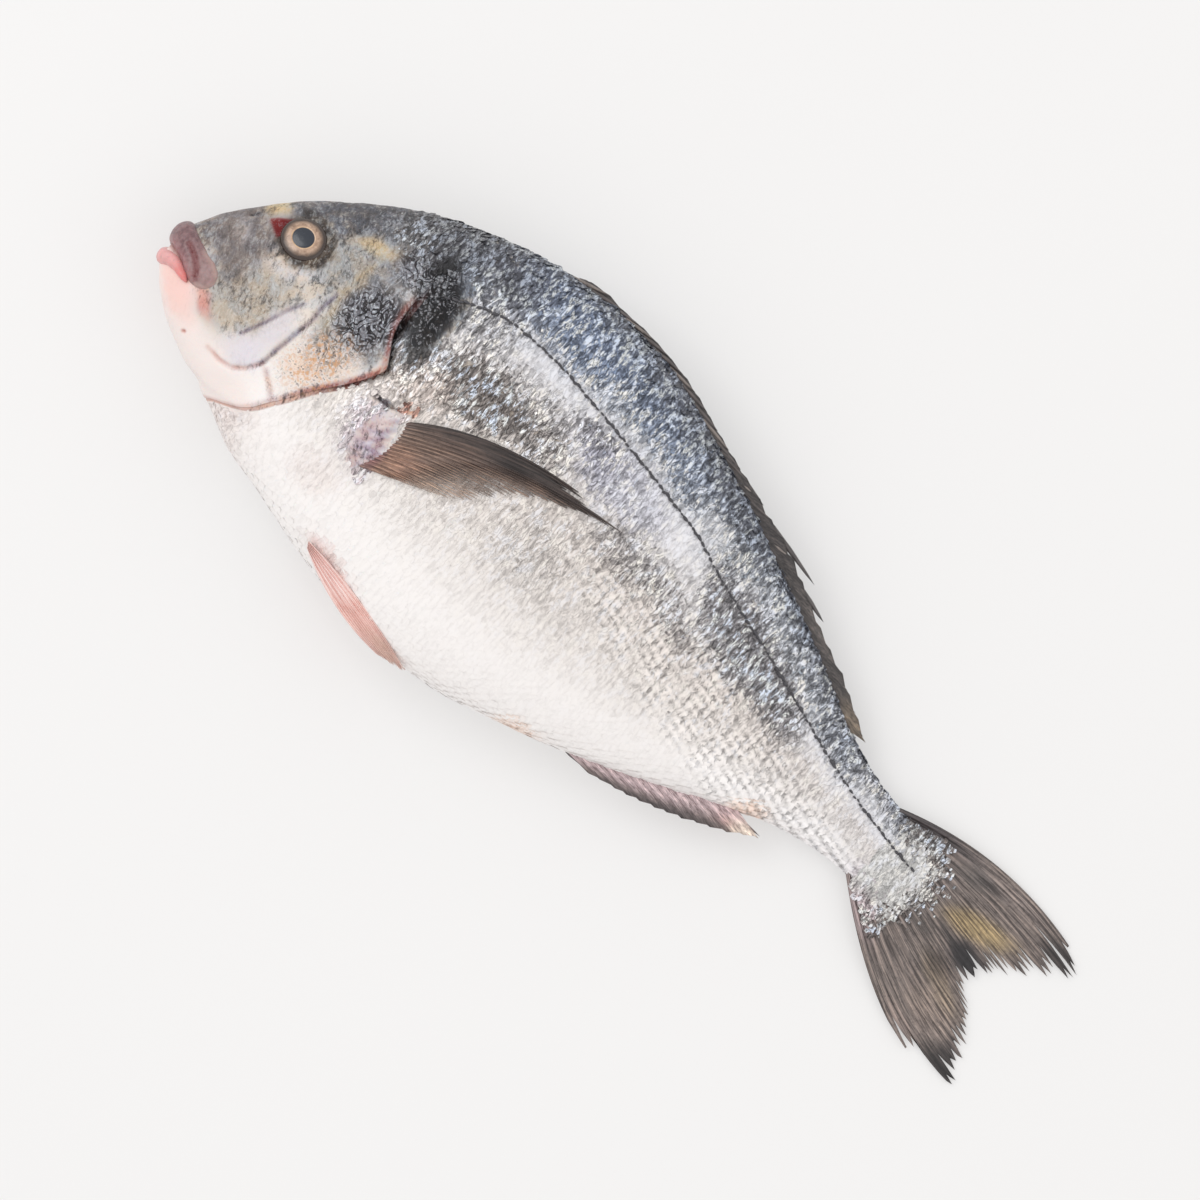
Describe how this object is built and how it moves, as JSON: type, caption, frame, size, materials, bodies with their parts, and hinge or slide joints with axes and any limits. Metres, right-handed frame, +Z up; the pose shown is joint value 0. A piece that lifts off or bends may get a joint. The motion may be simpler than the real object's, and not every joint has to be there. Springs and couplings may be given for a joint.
{
  "type": "gilthead sea bream",
  "caption": "Whole raw sea bream lying on its side: deep silvery body, scaled flanks, folded fins and a forked tail, to be laid on a board, tray or ice.",
  "frame": {"origin": "middle of the underside of the box around the fish, on the surface that it lies on", "axes": "+X from the snout to the tail, +Y towards the back of the fish, +Z up, out of its left flank"},
  "size_m": [0.316, 0.1137, 0.0431],
  "materials": {
    "silver_skin": "moist fish skin with silvery scales, dark blue-grey back, white belly and brown-grey fins"
  },
  "bodies": {
    "root": {"sea_bream": "silver_skin"}
  },
  "joints": []
}
